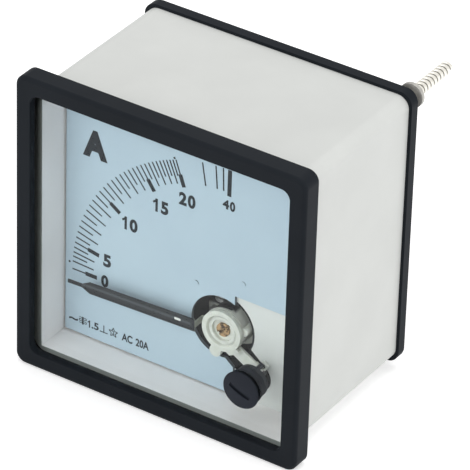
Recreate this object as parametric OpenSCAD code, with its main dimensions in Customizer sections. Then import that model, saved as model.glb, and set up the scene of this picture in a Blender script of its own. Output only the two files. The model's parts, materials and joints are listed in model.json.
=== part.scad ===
// Square analog panel meter with a moving-iron movement, an off-centre pivot and a zero screw.
// Millimetres. +X is right seen from the front, +Y goes to the rear, +Z is up.
// Origin: centre of the front frame, on the plane where the frame sits against the panel.

/* [Front frame] */
// side of the square front frame
bezel_side = 72; // [70:0.5:96]
// depth of the frame from its front face to the panel
bezel_depth = 5; // [4.4:0.2:8]
// corner radius of the frame seen from the front
bezel_corner_r = 2.5; // [2:0.1:3]
// rounding of the front edge
bezel_edge_r = 1.0; // [0.5:0.1:1.2]
// how much of the window's edge the frame's lip covers
lip_width = 0.85; // [0.5:0.05:1.5]
// corner radius of the visible opening
opening_corner_r = 2.2; // [1:0.1:3]
// thickness of the window pane
window_thickness = 2.0; // [1.5:0.1:2.5]
// depth of the window pane's front face in front of the panel
window_front = 3.0; // [2.6:0.1:3.4]

/* [Case] */
// side of the square case behind the panel
housing_side = 66; // [64:0.5:68]
// length of the case behind the panel
housing_length = 39.3; // [38:0.1:60]
// radius of the case's long edges
housing_corner_r = 2.9; // [2:0.1:3.5]
// thickness of the case's side walls
housing_wall = 1.8; // [1.2:0.1:2]
// thickness of the wall behind the dial
partition_thickness = 1.6; // [1.2:0.1:1.6]
// side of the rear cover
cover_side = 67.5; // [66.5:0.1:69.5]
// thickness of the rear cover
cover_thickness = 2.8; // [2:0.1:4]
// rounding of the rear cover's outer edge
cover_edge_r = 0.6; // [0.3:0.1:1]

/* [Dial] */
// depth of the dial's face behind the panel's front
dial_front = 7.2; // [7:0.1:7.6]
// thickness of the dial sheet
dial_thickness = 0.8; // [0.4:0.1:0.8]
// gap round the dial
dial_gap = 0.4; // [0.2:0.1:0.8]

/* [Movement] */
// pivot, to the right of the centre
pivot_x = 10.4; // [9.8:0.1:11]
// pivot, above the centre
pivot_z = -15.5; // [-16:0.1:-15]
// pointer length from the pivot
pointer_length = 38.7; // [36:0.1:39.4]
// pointer width at its inner end
pointer_width = 3.0; // [2.2:0.1:3.2]
// how far the pointer at rest hangs below the horizontal
pointer_rest = 2.25; // [0:0.25:4]
// radius of the round opening round the hub
well_r = 7.5; // [7.4:0.1:8]
// half width of the opening's side channel
channel_half = 3.2; // [3:0.1:3.8]
// radius of the coil former's flanges
bobbin_r = 13; // [12:0.1:13.4]

/* [Zero screw] */
// screw axis, to the right of the centre
zero_x = 21.0; // [20.8:0.1:21.4]
// screw axis, above the centre
zero_z = -21.6; // [-22:0.1:-21.2]
// radius of the screw head
zero_head_r = 4.4; // [4.2:0.1:5.0]
// radius of the barrel that runs in the window
zero_barrel_r = 3.8; // [3.4:0.1:4.0]
// running clearance of the barrel, on the radius
zero_fit = 0.05; // [0.02:0.01:0.1]
// how far the driving pin stands off the screw's axis
zero_throw = 1.2; // [0.8:0.1:1.4]
// radius of the driving pin
zero_pin_r = 0.55; // [0.4:0.05:0.6]
// fall of the screwdriver slot to the right
zero_slot_fall = 22; // [0:1:45]

/* [Rear fixings] */
// mounting studs from the centre, along X and along Z
stud_offset = 31; // [30.4:0.1:31.4]
// mounting stud thread diameter
stud_d = 3; // [2.5:0.5:3]
// rear end of the mounting studs
stud_end = 58.4; // [50:0.1:80]
// radius of the disc washer on the mounting stud
stud_washer_r = 2.85; // [2.5:0.05:3]
// distance between the two terminals
terminal_spacing = 31; // [28:0.5:34]
// height of the terminals above the centre
terminal_z = 9; // [8:0.5:12]
// terminal thread diameter
terminal_d = 5; // [4:0.5:5]
// rear end of the terminal studs
terminal_end = 58; // [54:0.5:80]

/* [Hidden] */
$fn = 72;
bezel_half = bezel_side / 2;
housing_half = housing_side / 2;
opening_half = housing_half - lip_width;
window_half = housing_half - 0.05;
window_rear = -window_front + window_thickness;
cavity_half = housing_half - housing_wall;
cover_half = cover_side / 2;
cover_rear = housing_length + cover_thickness;
well_floor_z = -housing_half + 1.2;
well_half = housing_half - 1.9;
partition_front = dial_front + dial_thickness;
partition_rear = partition_front + partition_thickness;
// the hub opening sits a little left of the pivot
well_x = pivot_x - 0.98;
well_z = pivot_z;
channel_angle = -40.3;
channel_length = 12.8;
channel_drop = 1.6;
cut_x = pivot_x + 2.3;
cut_z = pivot_z + 9.0;
// movement stack, front to rear
ring_front = dial_front - 1.5;
ring_step = ring_front + 0.65;
ring_rear = ring_front + 1.1;
plate_front = ring_rear + 0.2;
plate_rear = plate_front + 0.5;
jewel_front = ring_front + 0.7;
arm_front = dial_front - 0.15;
arm_rear = dial_front + 0.45;
strip_front = plate_rear + 0.3;
strip_rear = strip_front + 0.3;
frame_floor = partition_rear + 4.6;
frame_rear = frame_floor + 1.2;
bobbin_rear = frame_rear + 12;
chamber_rear = bobbin_rear + 6;
// the driving pin and the fork lie on the line from the pivot to the zero screw
fork_angle = atan2(zero_z - pivot_z, zero_x - pivot_x);
fork_reach = sqrt(pow(zero_x - pivot_x, 2) + pow(zero_z - pivot_z, 2));
fork_slot_half = zero_pin_r + 0.075;
pin_x = zero_x - zero_throw * cos(fork_angle);
pin_z = zero_z - zero_throw * sin(fork_angle);
ring_r = 4.85;
lobe_angle = -104;
pointer_angle = 180 + pointer_rest;
// the pointer bends back at this radius, clear of the ring in front of the dial
step_r = 6.0;
pointer_front = dial_front - 2.65;
pointer_rear = pointer_front + 0.3;
pad_rear = cover_rear + 1.0;
nut_rear = pad_rear + 6.2;
stud_washer_front = cover_rear + 1.1;
shank_r = stud_d / 2 - 0.17;
terminal_shank_r = terminal_d / 2 - 0.26;
strap_front = housing_length - 1.3;
// colours
black = [0.17, 0.19, 0.21];
white = [0.86, 0.86, 0.84];
ivory = [0.80, 0.80, 0.75];
dial_grey = [0.70, 0.77, 0.82];
clear_pane = [0.80, 0.90, 0.95, 0.35];
brass = [0.72, 0.55, 0.30];
copper = [0.72, 0.42, 0.26];
steel = [0.62, 0.62, 0.62];
nickel = [0.77, 0.76, 0.72];
pointer_grey = [0.30, 0.32, 0.33];

// a flat shape drawn as seen from the front, thick from y0 to y1
module face_on(y0, y1) {
    translate([0, y1, 0])
        rotate([90, 0, 0])
            linear_extrude(height = y1 - y0)
                children();
}

// a round bar along Y
module bar(x, z, r, y0, y1) {
    translate([x, y1, z])
        rotate([90, 0, 0])
            cylinder(r = r, h = y1 - y0);
}

// a round bar whose radius changes evenly from front to rear
module taper(x, z, r_front, r_rear, y0, y1) {
    translate([x, y1, z])
        rotate([90, 0, 0])
            cylinder(r1 = r_rear, r2 = r_front, h = y1 - y0);
}

// part of a ring round the pivot, from angle a0 to a1 counted from +X towards +Z
module arc(r0, r1, y0, y1, a0, a1) {
    translate([pivot_x, y1, pivot_z])
        rotate([90, 0, 0])
            rotate([0, 0, a0])
                rotate_extrude(angle = a1 - a0)
                    translate([r0, 0])
                        square([r1 - r0, y1 - y0]);
}

// children drawn along +X from the pivot, turned to an angle
module spoke(angle) {
    translate([pivot_x, 0, pivot_z])
        rotate([0, -angle, 0])
            children();
}

module rounded_square(half, r) {
    square([2 * half, 2 * (half - r)], center = true);
    square([2 * (half - r), 2 * half], center = true);
    for (sx = [-1, 1], sz = [-1, 1])
        translate([sx * (half - r), sz * (half - r)])
            circle(r = r);
}

// rounding that runs all round a square slab
module edge_bead(half, r, e, y) {
    for (a = [0, 90, 180, 270])
        rotate([0, a, 0]) {
            translate([half - e, y, 0])
                cylinder(r = e, h = 2 * (half - r), center = true);
            translate([half - r, y, half - r])
                rotate([90, 0, 0])
                    rotate_extrude(angle = 90)
                        translate([r - e, 0])
                            circle(r = e);
        }
}

// round opening with a side channel, shared by dial, case and movement frame
module keyhole(grow = 0) {
    translate([well_x, well_z]) {
        circle(r = well_r + grow);
        rotate([0, 0, channel_angle]) {
            translate([0, -channel_drop - channel_half - grow])
                square([channel_length, 2 * (channel_half + grow)]);
            translate([channel_length, -channel_drop])
                circle(r = channel_half + grow);
        }
    }
}

module bezel() {
    color(black)
        difference() {
            union() {
                face_on(-bezel_depth + bezel_edge_r, 0)
                    rounded_square(bezel_half, bezel_corner_r);
                face_on(-bezel_depth, -bezel_depth + bezel_edge_r)
                    rounded_square(bezel_half - bezel_edge_r, bezel_corner_r - bezel_edge_r);
                edge_bead(bezel_half, bezel_corner_r, bezel_edge_r, -bezel_depth + bezel_edge_r);
            }
            face_on(-bezel_depth - 1, 1)
                rounded_square(opening_half, opening_corner_r);
            face_on(-window_front, 1)
                rounded_square(housing_half, housing_corner_r);
        }
}

module window() {
    color(clear_pane)
        difference() {
            face_on(-window_front, window_rear)
                rounded_square(window_half, housing_corner_r - 0.05);
            bar(zero_x, zero_z, zero_barrel_r + zero_fit, -window_front - 1, window_rear + 1);
        }
}

// corners of the movement frame's plate where its screws sit
function frame_screw_at() = [
    [pivot_x - 15.9, pivot_z + 13.0],
    [pivot_x + 15.6, pivot_z + 13.0],
    [pivot_x - 15.9, pivot_z - 12.8],
    [pivot_x + 15.6, pivot_z - 12.8]
];

// the two dial rivets
function rivet_at() = [
    [pivot_x - 7.48, pivot_z + 8.67],
    [pivot_x + 4.25, pivot_z + 12.8]
];

// cover screws take the two corners the mounting studs leave free
function cover_screw_at() = [
    [cavity_half - 2.2, -cavity_half + 2.2],
    [-cavity_half + 2.2, cavity_half - 2.2]
];

module housing() {
    color(white)
        difference() {
            union() {
                difference() {
                    face_on(window_rear, housing_length)
                        rounded_square(housing_half, housing_corner_r);
                    face_on(window_rear - 1, partition_front)
                        translate([-well_half, well_floor_z])
                            square([2 * well_half, well_half - well_floor_z]);
                    face_on(partition_rear, housing_length + 1)
                        rounded_square(cavity_half, 1.2);
                    face_on(partition_front - 1, partition_rear + 1)
                        keyhole(0.45);
                }
                for (p = cover_screw_at())
                    face_on(housing_length - 10, housing_length)
                        translate([p[0] - 2.6, p[1] - 2.6])
                            square([5.2, 5.2]);
            }
            for (p = cover_screw_at())
                bar(p[0], p[1], 1.27, housing_length - 9, housing_length + 1);
            for (p = frame_screw_at())
                bar(p[0], p[1], 1.02, partition_front + 0.4, partition_rear + 1);
            for (p = rivet_at())
                bar(p[0], p[1], 0.42, partition_front - 1, partition_rear + 1);
        }
}

module rear_cover() {
    color(black)
        difference() {
            union() {
                face_on(housing_length, cover_rear - cover_edge_r)
                    rounded_square(cover_half, 3);
                face_on(cover_rear - cover_edge_r, cover_rear)
                    rounded_square(cover_half - cover_edge_r, 3 - cover_edge_r);
                edge_bead(cover_half, 3, cover_edge_r, cover_rear - cover_edge_r);
                // centring ribs that slip inside the case
                for (a = [0, 90, 180, 270])
                    rotate([0, a, 0])
                        translate([cavity_half - 1.85, housing_length - 1.8, -20])
                            cube([1.8, 2.0, 40]);
                // raised pads under the terminals
                for (s = [-1, 1])
                    bar(s * terminal_spacing / 2, terminal_z, 6, cover_rear - 1, pad_rear);
            }
            for (s = [-1, 1]) {
                bar(s * terminal_spacing / 2, terminal_z, terminal_d / 2 + 0.1, 30, pad_rear + 1);
                bar(s * stud_offset, s * stud_offset, shank_r, housing_length + 0.6, cover_rear + 1);
            }
            for (p = cover_screw_at())
                bar(p[0], p[1], 1.3, housing_length - 1, cover_rear + 1);
        }
}

module dial_plate() {
    color(dial_grey)
        face_on(dial_front, dial_front + dial_thickness)
            difference() {
                translate([-well_half + dial_gap, well_floor_z + dial_gap])
                    square([2 * (well_half - dial_gap), well_half - well_floor_z - 2 * dial_gap]);
                // the lower right quarter is left open for the zero screw's fork
                translate([cut_x, -housing_half])
                    square([housing_side, cut_z + housing_half]);
                keyhole();
                for (p = rivet_at())
                    translate([p[0], p[1]])
                        circle(r = 0.42);
            }
}

module dial_rivets() {
    color(dial_grey)
        for (p = rivet_at()) {
            bar(p[0], p[1], 0.42, dial_front, partition_rear);
            bar(p[0], p[1], 0.6, dial_front - 0.15, dial_front);
            bar(p[0], p[1], 0.8, partition_rear, partition_rear + 0.3);
        }
}

// lugs where the damping chamber is screwed to the movement frame
function lug_at() = [
    [pivot_x - 11.2, pivot_z + 11.2],
    [pivot_x + 11.2, pivot_z - 11.2]
];

// screws of the front bridge, in the floor of the hub opening
function bridge_screw_at() = [
    [well_x + 5.0 * cos(145), well_z + 5.0 * sin(145)],
    [well_x + 5.6 * cos(190), well_z + 5.6 * sin(190)]
];

module movement_frame() {
    color(black)
        difference() {
            union() {
                face_on(partition_rear, partition_rear + 1.6)
                    translate([pivot_x - 18.2, pivot_z - 15.3])
                        square([36.2, 30.6]);
                face_on(partition_rear, frame_rear)
                    keyhole(1.2);
                // collar that lines the opening through to the dial
                face_on(partition_front, partition_rear + 0.2)
                    keyhole(0.4);
                for (p = lug_at())
                    bar(p[0], p[1], 2.2, partition_rear, bobbin_rear);
            }
            face_on(partition_front - 1, frame_floor)
                keyhole();
            bar(pivot_x, pivot_z, 1.2, partition_rear, frame_rear + 1);
            for (p = frame_screw_at())
                bar(p[0], p[1], 1.02, partition_rear - 1, partition_rear + 3);
            for (p = lug_at())
                bar(p[0], p[1], 1.02, bobbin_rear - 6.2, bobbin_rear + 1);
            for (p = bridge_screw_at())
                bar(p[0], p[1], 0.72, frame_floor - 1, frame_rear + 1);
            for (p = rivet_at())
                bar(p[0], p[1], 1.1, partition_rear - 1, partition_rear + 1);
        }
}

module frame_screws() {
    color(steel)
        for (p = frame_screw_at())
            difference() {
                union() {
                    bar(p[0], p[1], 1.0, partition_front + 0.5, partition_rear + 1.7);
                    bar(p[0], p[1], 1.9, partition_rear + 1.6, partition_rear + 3.0);
                }
                translate([p[0] - 2, partition_rear + 2.4, p[1] - 0.25])
                    cube([4, 1, 0.5]);
            }
}

// bridge that carries the front bearing; its wall stops where the pointer swings
module front_bridge() {
    color(ivory)
        difference() {
            union() {
                bar(well_x, well_z, well_r - 0.3, frame_floor - 0.8, frame_floor);
                arc(4.05, 4.8, plate_rear - 0.1, frame_floor - 0.7, -159, 75);
                bar(pivot_x, pivot_z, 4.9, plate_front, plate_rear);
                // ring that joins the wall's ends behind the pointer's slot
                difference() {
                    bar(pivot_x, pivot_z, 4.75, strip_rear + 0.5, strip_rear + 1.7);
                    bar(pivot_x, pivot_z, 4.1, strip_rear, strip_rear + 2);
                }
                // guide rib on the wall's side
                spoke(10)
                    bar(4.9, 0, 0.95, plate_front + 0.1, plate_front + 3.4);
                // boss that the ring turns on, with the lip that keeps it there
                bar(pivot_x, pivot_z, 3.0, ring_step - 0.2, plate_rear - 0.2);
                bar(pivot_x, pivot_z, 3.25, ring_step - 0.2, ring_step - 0.05);
            }
            bar(pivot_x, pivot_z, 1.6, 0, plate_rear + 1);
            bar(pivot_x, pivot_z, 2.6, 0, plate_front - 0.1);
            bar(pivot_x, pivot_z, 1.2, frame_floor - 2, frame_floor + 1);
            for (p = bridge_screw_at())
                bar(p[0], p[1], 0.72, frame_floor - 2, frame_floor + 1);
            // notch beside the jewel screw for the key that sets it
            spoke(45)
                translate([1, 0, -0.35])
                    cube([1.3, plate_rear - 0.15, 0.7]);
            // slot that lets the hairspring out to its peg
            spoke(lobe_angle)
                translate([3.8, strip_rear + 0.5, -1.2])
                    cube([2, 1.4, 2.4]);
        }
}

module bridge_screws() {
    color(steel)
        for (p = bridge_screw_at())
            difference() {
                union() {
                    bar(p[0], p[1], 0.7, frame_floor - 0.9, frame_rear);
                    bar(p[0], p[1], 1.1, frame_floor - 1.7, frame_floor - 0.8);
                }
                translate([p[0] - 2, frame_floor - 2, p[1] - 0.2])
                    cube([4, 0.7, 0.4]);
            }
}

module front_jewel_screw() {
    color(brass)
        difference() {
            bar(pivot_x, pivot_z, 1.6, jewel_front, plate_rear);
            bar(pivot_x, pivot_z, 0.36, plate_rear - 0.55, plate_rear + 1);
            spoke(45)
                translate([-2, jewel_front - 0.5, -0.25])
                    cube([4, 0.85, 0.5]);
        }
}

// outline of the ring that turns on the bridge's boss, with its fork and the hairspring's lobe
module zero_ring_outline() {
    circle(r = ring_r);
    rotate([0, 0, lobe_angle]) {
        translate([3.6, -1.3])
            square([2.0, 2.6]);
        translate([5.6, 0])
            circle(r = 1.4);
    }
}

// the arm passes left of the driving pin and hooks round it
module zero_lever_outline() {
    pin_reach = fork_reach - zero_throw;
    rotate([0, 0, fork_angle]) {
        translate([4.2, -3.75])
            square([pin_reach - 1.9 + 3.7 - 4.2, 2.9]);
        translate([pin_reach - 1.3, -1.2])
            square([2.65, 1.2 - fork_slot_half]);
        translate([pin_reach + 0.95, -1.2])
            square([0.4, fork_slot_half + 1.6]);
        translate([pin_reach - 0.4, fork_slot_half])
            square([1.75, 0.4]);
    }
}

module zero_arm() {
    color(ivory)
        difference() {
            union() {
                translate([pivot_x, 0, pivot_z]) {
                    face_on(ring_front, ring_rear)
                        zero_ring_outline();
                    // root that steps back from the ring to the lever
                    face_on(ring_front + 0.25, arm_rear)
                        intersection() {
                            circle(r = 5.75);
                            rotate([0, 0, fork_angle])
                                translate([3.4, -3.6])
                                    square([3, 2.6]);
                        }
                    face_on(arm_front, arm_rear)
                        zero_lever_outline();
                }
                spoke(lobe_angle)
                    bar(6.2, 0, 0.45, ring_rear - 0.5, strip_rear + 1.3);
            }
            bar(pivot_x, pivot_z, 3.05, ring_front - 1, arm_rear);
            taper(pivot_x, pivot_z, 3.85, 3.45, ring_front - 0.2, ring_step);
            // room for the bridge's plate behind the ring
            bar(pivot_x, pivot_z, 5.05, ring_rear, arm_rear + 1);
        }
}

module zero_screw() {
    barrel_end = dial_front - 5.0;
    color(black) {
        difference() {
            union() {
                intersection() {
                    translate([zero_x, -window_front - 1.2 + 12.72, zero_z])
                        sphere(r = 12.72, $fn = 180);
                    bar(zero_x, zero_z, zero_head_r, -window_front - 2, -window_front - 0.1);
                }
                bar(zero_x, zero_z, zero_barrel_r, -window_front - 0.2, barrel_end);
                // lip behind the window keeps the screw in
                bar(zero_x, zero_z, zero_barrel_r + 0.3, window_rear + 0.1, window_rear + 0.7);
            }
            translate([zero_x, 0, zero_z])
                rotate([0, zero_slot_fall, 0])
                    translate([-2.65, -window_front - 2, -0.45])
                        cube([5.3, 1.5, 0.9]);
        }
        bar(pin_x, pin_z, zero_pin_r, barrel_end - 0.1, arm_rear);
    }
}

// flat pointer in front of the dial that steps back through the opening to the spindle
module pointer() {
    hw = pointer_width / 2;
    tip = pointer_length - 3.7;
    color(pointer_grey)
        difference() {
            union() {
                difference() {
                    spoke(pointer_angle)
                        face_on(pointer_front, pointer_rear)
                            polygon([
                                [step_r, -hw], [tip - 2, -hw + 0.1], [tip, -0.4], [pointer_length, -0.4],
                                [pointer_length, 0.4], [tip, 0.4], [tip - 2, hw - 0.1], [step_r, hw]
                            ]);
                    // shallow channel along the middle
                    spoke(pointer_angle)
                        face_on(pointer_front - 1, pointer_front + 0.12)
                            polygon([
                                [5, -hw + 0.4], [tip - 2.2, -hw + 0.5], [tip - 0.8, -0.25],
                                [tip - 0.8, 0.25], [tip - 2.2, hw - 0.5], [5, hw - 0.4]
                            ]);
                    spoke(pointer_angle)
                        translate([9.6, 0, -0.25])
                            cube([1.5, 20, 0.5]);
                }
                spoke(pointer_angle) {
                    translate([step_r, pointer_front + 0.12, -0.7])
                        cube([0.3, strip_rear - pointer_front - 0.12, 1.4]);
                    translate([0.5, strip_front, -0.7])
                        cube([step_r - 0.3, strip_rear - strip_front, 1.4]);
                }
                bar(pivot_x, pivot_z, 1.4, strip_front, strip_rear);
            }
            bar(pivot_x, pivot_z, 0.6, 0, frame_rear);
        }
}

module pointer_collet() {
    color(brass)
        difference() {
            union() {
                bar(pivot_x, pivot_z, 1.4, strip_rear, strip_rear + 0.7);
                bar(pivot_x, pivot_z, 1.1, strip_rear + 0.6, strip_rear + 1.4);
                // balance arms with their weights
                for (a = [90, 180, 270])
                    spoke(pointer_angle + a) {
                        translate([1, strip_rear + 0.15, -0.25])
                            cube([2.8, 0.35, 0.5]);
                        translate([3.0, strip_rear + 0.325, 0])
                            rotate([0, 90, 0])
                                cylinder(r = 0.3, h = 0.7);
                    }
            }
            bar(pivot_x, pivot_z, 0.6, 0, frame_rear);
        }
}

module spindle() {
    color(steel) {
        bar(pivot_x, pivot_z, 0.6, plate_rear + 0.15, chamber_rear - 1.0);
        bar(pivot_x, pivot_z, 0.3, plate_rear - 0.45, plate_rear + 0.2);
        bar(pivot_x, pivot_z, 0.3, chamber_rear - 1.1, chamber_rear - 0.4);
    }
}

// flat spiral of half turns whose centres alternate
module hairspring() {
    pitch = 0.8;
    r_in = 1.3;
    turns = 3;
    y = strip_rear + 0.85;
    color(brass)
        spoke(lobe_angle) {
            for (k = [0:turns - 1]) {
                half_turn(r_in + k * pitch, 0, 0, y);
                half_turn(r_in + (k + 0.5) * pitch, pitch / 2, 180, y);
                translate([-r_in - k * pitch, y + 0.15, 0])
                    cube([0.16, 0.3, 0.2], center = true);
                translate([r_in + (k + 1) * pitch, y + 0.15, 0])
                    cube([0.16, 0.3, 0.2], center = true);
            }
            // ends: on the collet and on the peg
            translate([1.12, y, -0.1])
                cube([r_in - 1.04, 0.3, 0.2]);
            translate([r_in + turns * pitch - 0.08, y, -0.06])
                cube([5.73 - r_in - turns * pitch + 0.08, 0.3, 0.12]);
        }
}

module half_turn(r, cx, a0, y) {
    translate([cx, y + 0.3, 0])
        rotate([90, 0, 0])
            rotate([0, 0, a0])
                rotate_extrude(angle = 180)
                    translate([r - 0.06, 0])
                        square([0.12, 0.3]);
}

// curved iron vane on the spindle inside the coil; it also balances the pointer
module moving_iron() {
    y0 = frame_rear + 1.8;
    color(steel)
        difference() {
            union() {
                arc(4.6, 5.0, y0, y0 + 8.6, pointer_rest - 40, pointer_rest + 40);
                bar(pivot_x, pivot_z, 1.3, y0 + 3, y0 + 5.6);
                spoke(pointer_rest)
                    translate([1, y0 + 4, -0.8])
                        cube([3.8, 0.6, 1.6]);
            }
            bar(pivot_x, pivot_z, 0.6, 0, chamber_rear);
        }
}

module damping_vane() {
    y0 = bobbin_rear + 1.2;
    color(nickel)
        difference() {
            union() {
                bar(pivot_x, pivot_z, 1.3, y0 + 0.6, y0 + 3.0);
                spoke(pointer_rest)
                    translate([1, y0, -0.15])
                        cube([bobbin_r - 1.5, 3.4, 0.3]);
            }
            bar(pivot_x, pivot_z, 0.6, 0, chamber_rear);
        }
}

module bobbin() {
    color(black)
        difference() {
            union() {
                bar(pivot_x, pivot_z, 7.6, frame_rear, bobbin_rear);
                bar(pivot_x, pivot_z, bobbin_r, frame_rear, frame_rear + 1.2);
                bar(pivot_x, pivot_z, bobbin_r, bobbin_rear - 1.2, bobbin_rear);
            }
            bar(pivot_x, pivot_z, 6.6, frame_rear - 1, bobbin_rear + 1);
        }
}

// thick wire in two layers, the outer turns seen as ridges
module coil_winding() {
    color(copper)
        translate([pivot_x, frame_rear + 1.25, pivot_z])
            rotate([-90, 0, 0])
                rotate_extrude() {
                    translate([7.62, 0])
                        square([2.8, 9.5]);
                    for (k = [0:4])
                        translate([10.4, 0.95 + 1.9 * k])
                            circle(r = 0.95);
                }
}

module fixed_iron() {
    y0 = frame_rear + 1.4;
    color(steel) {
        arc(6.1, 6.58, y0, y0 + 9.2, -45, 10);
        arc(6.14, 6.54, y0 + 2.6, y0 + 6.6, 9, 85);
    }
}

// closed drum in which the damping vane swings
module damping_chamber() {
    color(black)
        difference() {
            union() {
                bar(pivot_x, pivot_z, bobbin_r + 0.9, bobbin_rear, chamber_rear);
                for (p = lug_at())
                    bar(p[0], p[1], 2.4, bobbin_rear, bobbin_rear + 2);
            }
            difference() {
                bar(pivot_x, pivot_z, bobbin_r + 0.1, bobbin_rear + 0.8, chamber_rear - 0.8);
                for (p = lug_at())
                    bar(p[0], p[1], 3.2, bobbin_rear, chamber_rear);
            }
            bar(pivot_x, pivot_z, 1.2, bobbin_rear - 1, bobbin_rear + 2);
            bar(pivot_x, pivot_z, 1.6, chamber_rear - 2, chamber_rear + 1);
            for (p = lug_at()) {
                bar(p[0], p[1], 1.02, bobbin_rear - 1, bobbin_rear + 4);
                bar(p[0], p[1], 1.9, bobbin_rear + 2, chamber_rear + 1);
            }
        }
}

module chamber_screws() {
    color(steel)
        for (p = lug_at())
            difference() {
                union() {
                    bar(p[0], p[1], 1.0, bobbin_rear - 6, bobbin_rear + 2.1);
                    bar(p[0], p[1], 1.8, bobbin_rear + 2, bobbin_rear + 3.4);
                }
                translate([p[0] - 2, bobbin_rear + 2.8, p[1] - 0.25])
                    cube([4, 1, 0.5]);
            }
}

module rear_jewel_screw() {
    color(brass)
        difference() {
            bar(pivot_x, pivot_z, 1.6, chamber_rear - 0.8, chamber_rear + 1.6);
            bar(pivot_x, pivot_z, 0.36, chamber_rear - 2, chamber_rear - 0.3);
            translate([pivot_x - 2, chamber_rear + 1, pivot_z - 0.25])
                cube([4, 1, 0.5]);
        }
}

// copper straps from the coil's ends to the terminals
module bus_straps() {
    tx = terminal_spacing / 2;
    tab_front = frame_rear + 5.2;
    color(copper)
        difference() {
            union() {
                translate([pivot_x - 2, tab_front, pivot_z + 11.4])
                    cube([4, 1.4, 4.1]);
                translate([pivot_x - 2, tab_front, pivot_z + 14.5])
                    cube([4, housing_length - tab_front, 1]);
                translate([pivot_x - 2, strap_front, pivot_z + 14.5])
                    cube([4, 1.3, terminal_z - pivot_z - 10.5]);
                translate([pivot_x - 2, strap_front, terminal_z - 4])
                    cube([tx - pivot_x + 6, 1.3, 8]);
                translate([pivot_x - 15.5, tab_front, pivot_z - 2])
                    cube([4.1, 1.4, 4]);
                translate([pivot_x - 15.5, tab_front, pivot_z - 2])
                    cube([1, housing_length - tab_front, 4]);
                translate([-tx - 4, strap_front, pivot_z - 2])
                    cube([pivot_x - 10.5 + tx, 1.3, 4]);
                translate([-tx - 4, strap_front, pivot_z - 2])
                    cube([8, 1.3, terminal_z - pivot_z + 6]);
            }
            for (s = [-1, 1])
                bar(s * tx, terminal_z, terminal_shank_r + 0.05, 30, 60);
        }
}

module terminal_studs() {
    color(brass)
        for (s = [-1, 1]) {
            bar(s * terminal_spacing / 2, terminal_z, terminal_shank_r, strap_front - 0.1, nut_rear + 0.6);
            bar(s * terminal_spacing / 2, terminal_z, terminal_d / 2, nut_rear + 0.5, terminal_end - 0.6);
            taper(s * terminal_spacing / 2, terminal_z, terminal_d / 2, terminal_d / 2 - 0.6,
                terminal_end - 0.6, terminal_end);
            translate([s * terminal_spacing / 2, strap_front, terminal_z])
                rotate([90, 0, 0])
                    cylinder(r = 4 / cos(30), h = 3.2, $fn = 6);
        }
}

module terminal_washers() {
    color(nickel)
        for (s = [-1, 1])
            difference() {
                bar(s * terminal_spacing / 2, terminal_z, 5, pad_rear, pad_rear + 1);
                bar(s * terminal_spacing / 2, terminal_z, terminal_d / 2 + 0.15, pad_rear - 1, pad_rear + 2);
            }
}

module terminal_spring_washers() {
    color(steel)
        for (s = [-1, 1])
            difference() {
                bar(s * terminal_spacing / 2, terminal_z, 4.4, pad_rear + 1, pad_rear + 2.2);
                bar(s * terminal_spacing / 2, terminal_z, terminal_d / 2 + 0.1, pad_rear, pad_rear + 3);
                translate([s * terminal_spacing / 2, pad_rear + 1.6, terminal_z + 3.5])
                    rotate([0, 0, 25])
                        cube([0.6, 3, 3], center = true);
            }
}

module terminal_nuts() {
    color(brass)
        for (s = [-1, 1])
            difference() {
                translate([s * terminal_spacing / 2, nut_rear, terminal_z])
                    rotate([90, 0, 0])
                        cylinder(r = 4 / cos(30), h = 4, $fn = 6);
                bar(s * terminal_spacing / 2, terminal_z, terminal_shank_r + 0.01, pad_rear, pad_rear + 8);
            }
}

module mounting_studs() {
    color(nickel)
        for (s = [-1, 1]) {
            bar(s * stud_offset, s * stud_offset, shank_r, housing_length + 0.6, stud_washer_front + 1.2);
            bar(s * stud_offset, s * stud_offset, stud_d / 2, stud_washer_front + 1.1, stud_end - 0.4);
            taper(s * stud_offset, s * stud_offset, stud_d / 2, stud_d / 2 - 0.4, stud_end - 0.4, stud_end);
        }
}

module mounting_washers() {
    color(nickel)
        for (s = [-1, 1])
            difference() {
                bar(s * stud_offset, s * stud_offset, stud_washer_r, stud_washer_front, stud_washer_front + 0.9);
                bar(s * stud_offset, s * stud_offset, shank_r, cover_rear, cover_rear + 3);
            }
}

module cover_screws() {
    color(steel)
        for (p = cover_screw_at())
            difference() {
                union() {
                    bar(p[0], p[1], 1.25, housing_length - 8, cover_rear + 0.1);
                    bar(p[0], p[1], 2.4, cover_rear, cover_rear + 1.5);
                }
                for (a = [45, 135])
                    translate([p[0], cover_rear + 1.5, p[1]])
                        rotate([0, a, 0])
                            cube([3.2, 1.6, 0.5], center = true);
            }
}

bezel();
window();
housing();
rear_cover();
dial_plate();
dial_rivets();
movement_frame();
frame_screws();
front_bridge();
bridge_screws();
front_jewel_screw();
zero_arm();
zero_screw();
pointer();
pointer_collet();
spindle();
hairspring();
moving_iron();
damping_vane();
bobbin();
coil_winding();
fixed_iron();
damping_chamber();
chamber_screws();
rear_jewel_screw();
bus_straps();
terminal_studs();
terminal_washers();
terminal_spring_washers();
terminal_nuts();
mounting_studs();
mounting_washers();
cover_screws();
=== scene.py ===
# %% [markdown]
# # An analog panel meter, dressed for its picture
# The solids of the meter come from its CAD model and are loaded as a fixed frame. This script
# gives them their finishes, softens the edges of the moulded shells, cuts the threads on the
# studs and prints the dial. Pieces take their places from the frame, so they fit. Only the print
# on the dial and the limits of a few shades of colour have measures of their own.

# %% Load the frame
import json
import math

import bpy
from mathutils import Euler, Matrix, Vector


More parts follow.
